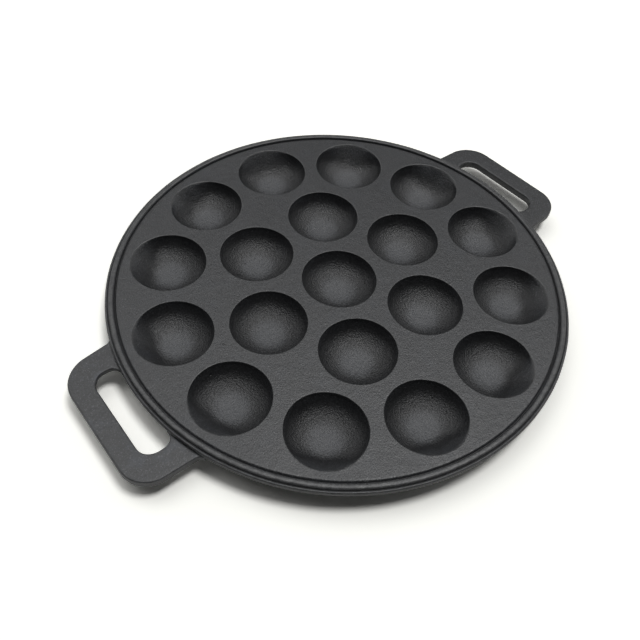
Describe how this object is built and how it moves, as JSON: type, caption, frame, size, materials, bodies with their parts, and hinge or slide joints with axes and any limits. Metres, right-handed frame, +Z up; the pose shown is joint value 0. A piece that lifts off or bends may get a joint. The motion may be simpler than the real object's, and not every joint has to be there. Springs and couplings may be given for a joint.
{
  "type": "poffertjes pan",
  "caption": "Round cast-iron pan with rows of shallow round cups for small puffed pancakes, a raised bead round its rim and a flat loop handle on each side.",
  "frame": {"origin": "middle of the level plane that the flattened undersides of the cups stand on", "axes": "+Z up, out of the cups; +X along the line of the two handles, towards handle_right; the centre cup's axis is the Z axis"},
  "size_m": [0.3026, 0.2534, 0.0171],
  "materials": {
    "cup_plate": "sand-cast and seasoned, fine rough grain, dull satin black",
    "rim_bead": "sand-cast and seasoned, fine rough grain, dull satin black",
    "rim_band": "sand-cast and seasoned, fine rough grain, dull satin black",
    "handle_left": "sand-cast and seasoned, fine rough grain, dull satin black",
    "handle_right": "sand-cast and seasoned, fine rough grain, dull satin black"
  },
  "bodies": {
    "root": {"cup_plate": "cup_plate", "rim_bead": "rim_bead", "rim_band": "rim_band", "handle_left": "handle_left", "handle_right": "handle_right"}
  },
  "joints": []
}
